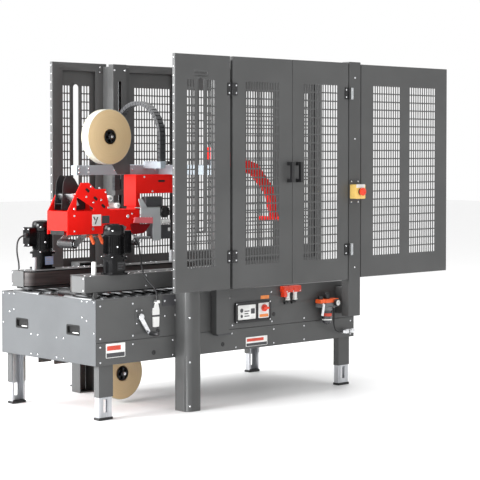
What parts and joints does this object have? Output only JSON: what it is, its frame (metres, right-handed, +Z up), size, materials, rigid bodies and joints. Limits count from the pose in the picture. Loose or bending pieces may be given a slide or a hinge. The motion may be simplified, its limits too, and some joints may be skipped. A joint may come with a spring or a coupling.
{
  "type": "carton sealer machine",
  "caption": "Carton sealing machine with side belt drives, upper and lower taping heads on a lifting carriage, roller bed, telescopic legs and perforated guard doors.",
  "frame": {"origin": "on the floor, under the middle of the machine's bounding box", "axes": "+X from the exit end to the infeed end, +Y from the operator's side to the other side, +Z up"},
  "size_m": [2.7, 1.256, 1.933],
  "materials": {
    "panel_grey": "satin powder coat, warm dark grey",
    "structure_grey": "satin powder coat, mid grey",
    "beam_grey": "satin powder coat, light grey",
    "head_red": "semi-gloss enamel, signal red",
    "motor_black": "gloss black enamel",
    "zinc": "zinc-plated, bright",
    "steel": "bright ground steel",
    "black_plastic": "fine-textured black nylon",
    "yellow_plastic": "yellow enclosure plastic",
    "red_plastic": "red operator plastic",
    "belt_rubber": "dark brown-black drive belt",
    "pulley_alu": "machined",
    "tape": "wound packaging tape, tan",
    "service_grey": "moulded filter regulator"
  },
  "bodies": {
    "frame": {"bed_frame": "structure_grey", "end_plates": "panel_grey", "side_covers": "panel_grey", "side_skirts": "panel_grey", "top_deck": "steel", "bed_rollers": "steel", "outer_legs": "structure_grey", "corner_posts": "structure_grey", "head_columns": "structure_grey", "guard_posts": "structure_grey", "exit_guards": "panel_grey", "wing_guards": "panel_grey", "door_hinges": "black_plastic", "control_panel": "black_plastic", "estop_boxes": "yellow_plastic", "valve_manifold": "red_plastic", "air_service_unit": "service_grey", "lower_head_frame": "structure_grey", "energy_chain": "black_plastic", "motor_cable_near": "black_plastic", "air_hose": "black_plastic"},
    "leg_exit_near": {"inner_leg_exit_near": "zinc"},
    "leg_exit_far": {"inner_leg_exit_far": "zinc"},
    "leg_infeed_near": {"inner_leg_infeed_near": "zinc"},
    "leg_infeed_far": {"inner_leg_infeed_far": "zinc"},
    "door_near_exit": {"door_near_exit": "panel_grey", "fittings_near_exit": "black_plastic"},
    "door_near_infeed": {"door_near_infeed": "panel_grey", "fittings_near_infeed": "black_plastic"},
    "door_far_exit": {"door_far_exit": "panel_grey", "fittings_far_exit": "black_plastic"},
    "door_far_infeed": {"door_far_infeed": "panel_grey", "fittings_far_infeed": "black_plastic"},
    "estop_near": {"estop_button_near": "red_plastic"},
    "estop_far": {"estop_button_far": "red_plastic"},
    "main_switch": {"main_switch_knob": "red_plastic"},
    "regulator": {"regulator_knob": "black_plastic"},
    "drive_near": {"drive_housing_near": "panel_grey", "drive_belt_near": "belt_rubber", "gearmotor_near": "motor_black"},
    "pulley_exit_near": {"pulley_exit_near": "pulley_alu"},
    "pulley_infeed_near": {"pulley_infeed_near": "pulley_alu"},
    "drive_far": {"drive_housing_far": "panel_grey", "drive_belt_far": "belt_rubber", "gearmotor_far": "motor_black", "motor_cable_far": "black_plastic"},
    "pulley_exit_far": {"pulley_exit_far": "pulley_alu"},
    "pulley_infeed_far": {"pulley_infeed_far": "pulley_alu"},
    "crank": {"hand_crank": "black_plastic"},
    "head_carriage": {"head_crossbar": "beam_grey", "head_arm": "head_red", "upper_head_frame": "head_red", "roll_bracket": "structure_grey"},
    "upper_roll": {"upper_tape_roll": "tape"},
    "lower_roll": {"lower_tape_roll": "tape"},
    "upper_arm_exit": {"upper_arm_exit": "steel"},
    "upper_arm_infeed": {"upper_arm_infeed": "steel"},
    "lower_arm_exit": {"lower_arm_exit": "steel"},
    "lower_arm_infeed": {"lower_arm_infeed": "steel"},
    "kicker": {"flap_kicker": "head_red"}
  },
  "joints": [
    {"name": "leg_extend_exit_near", "type": "slide", "parent": "frame", "child": "leg_exit_near", "axis": [0, 0, -1], "range_m": [0, 0.12]},
    {"name": "leg_extend_exit_far", "type": "slide", "parent": "frame", "child": "leg_exit_far", "axis": [0, 0, -1], "range_m": [0, 0.12]},
    {"name": "leg_extend_infeed_near", "type": "slide", "parent": "frame", "child": "leg_infeed_near", "axis": [0, 0, -1], "range_m": [0, 0.12]},
    {"name": "leg_extend_infeed_far", "type": "slide", "parent": "frame", "child": "leg_infeed_far", "axis": [0, 0, -1], "range_m": [0, 0.12]},
    {"name": "door_swing_near_exit", "type": "hinge", "parent": "frame", "child": "door_near_exit", "pos_m": [-0.5, -0.558, 1.285], "axis": [0, 0, -1], "range_deg": [0, 95]},
    {"name": "door_swing_near_infeed", "type": "hinge", "parent": "frame", "child": "door_near_infeed", "pos_m": [0.442, -0.558, 1.285], "axis": [0, 0, 1], "range_deg": [0, 95]},
    {"name": "door_swing_far_exit", "type": "hinge", "parent": "frame", "child": "door_far_exit", "pos_m": [-0.382, 0.558, 1.285], "axis": [0, 0, 1], "range_deg": [0, 95]},
    {"name": "door_swing_far_infeed", "type": "hinge", "parent": "frame", "child": "door_far_infeed", "pos_m": [0.442, 0.558, 1.285], "axis": [0, 0, -1], "range_deg": [0, 95]},
    {"name": "estop_press_near", "type": "slide", "parent": "frame", "child": "estop_near", "axis": [0, 1, 0], "range_m": [0, 0.006], "stiffness_N_per_m": 1500, "springref_m": -0.003},
    {"name": "estop_press_far", "type": "slide", "parent": "frame", "child": "estop_far", "axis": [0, -1, 0], "range_m": [0, 0.006], "stiffness_N_per_m": 1500, "springref_m": -0.003},
    {"name": "main_switch_turn", "type": "hinge", "parent": "frame", "child": "main_switch", "pos_m": [-0.136, -0.43, 0.513], "axis": [0, -1, 0], "range_deg": [0, 90]},
    {"name": "regulator_turn", "type": "hinge", "parent": "frame", "child": "regulator", "pos_m": [0.35, -0.4615, 0.55], "axis": [0, 0, 1], "range_deg": [-720, 720]},
    {"name": "drive_width_near", "type": "slide", "parent": "frame", "child": "drive_near", "axis": [0, -1, 0], "range_m": [-0.095, 0.055], "deforming": ["motor_cable_near"]},
    {"name": "pulley_exit_near_spin", "type": "hinge", "parent": "drive_near", "child": "pulley_exit_near", "pos_m": [-1.304, -0.213, 0.7065], "axis": [0, 0, 1], "continuous": true},
    {"name": "pulley_infeed_near_spin", "type": "hinge", "parent": "drive_near", "child": "pulley_infeed_near", "pos_m": [-0.14, -0.213, 0.7065], "axis": [0, 0, 1], "continuous": true},
    {"name": "drive_width_far", "type": "slide", "parent": "frame", "child": "drive_far", "axis": [0, 1, 0], "range_m": [-0.095, 0.055]},
    {"name": "pulley_exit_far_spin", "type": "hinge", "parent": "drive_far", "child": "pulley_exit_far", "pos_m": [-1.304, 0.213, 0.7065], "axis": [0, 0, 1], "continuous": true},
    {"name": "pulley_infeed_far_spin", "type": "hinge", "parent": "drive_far", "child": "pulley_infeed_far", "pos_m": [-0.14, 0.213, 0.7065], "axis": [0, 0, 1], "continuous": true},
    {"name": "crank_turn", "type": "hinge", "parent": "frame", "child": "crank", "pos_m": [-1.06, -0.4195, 0.528], "axis": [0, -1, 0], "range_deg": [-580, 340]},
    {"name": "head_lift", "type": "slide", "parent": "frame", "child": "head_carriage", "axis": [0, 0, 1], "range_m": [-0.2, 0.3], "deforming": ["energy_chain"]},
    {"name": "upper_roll_spin", "type": "hinge", "parent": "head_carriage", "child": "upper_roll", "pos_m": [-0.939, 0, 1.486], "axis": [0, 1, 0], "continuous": true},
    {"name": "lower_roll_spin", "type": "hinge", "parent": "frame", "child": "lower_roll", "pos_m": [-0.855, 0, 0.166], "axis": [0, 1, 0], "continuous": true},
    {"name": "upper_arm_exit_swing", "type": "hinge", "parent": "head_carriage", "child": "upper_arm_exit", "pos_m": [-1.105, 0, 0.985], "axis": [0, 1, 0], "range_deg": [0, 36], "stiffness_Nm_per_rad": 14, "springref_deg": -28.65},
    {"name": "upper_arm_infeed_swing", "type": "hinge", "parent": "head_carriage", "child": "upper_arm_infeed", "pos_m": [-0.88, 0, 0.985], "axis": [0, -1, 0], "range_deg": [0, 36], "stiffness_Nm_per_rad": 14, "springref_deg": -28.65},
    {"name": "lower_arm_exit_swing", "type": "hinge", "parent": "frame", "child": "lower_arm_exit", "pos_m": [-1.105, 0, 0.588], "axis": [0, -1, 0], "range_deg": [0, 19], "stiffness_Nm_per_rad": 14, "springref_deg": -28.65},
    {"name": "lower_arm_infeed_swing", "type": "hinge", "parent": "frame", "child": "lower_arm_infeed", "pos_m": [-0.88, 0, 0.588], "axis": [0, 1, 0], "range_deg": [0, 19], "stiffness_Nm_per_rad": 14, "springref_deg": -28.65},
    {"name": "kicker_swing", "type": "hinge", "parent": "head_carriage", "child": "kicker", "pos_m": [-0.14, 0, 1.4], "axis": [0, 1, 0], "range_deg": [-35, 15]}
  ],
  "couplings": [
    {"joint": "pulley_exit_near_spin", "follows": "pulley_infeed_near_spin", "ratio": 1},
    {"joint": "pulley_exit_far_spin", "follows": "pulley_infeed_far_spin", "ratio": 1},
    {"joint": "drive_width_far", "follows": "drive_width_near", "ratio": 1},
    {"joint": "crank_turn", "follows": "drive_width_near", "rad_per_m": 104.72},
    {"joint": "upper_arm_exit_swing", "follows": "upper_arm_infeed_swing", "ratio": 1},
    {"joint": "lower_arm_exit_swing", "follows": "lower_arm_infeed_swing", "ratio": 1}
  ]
}
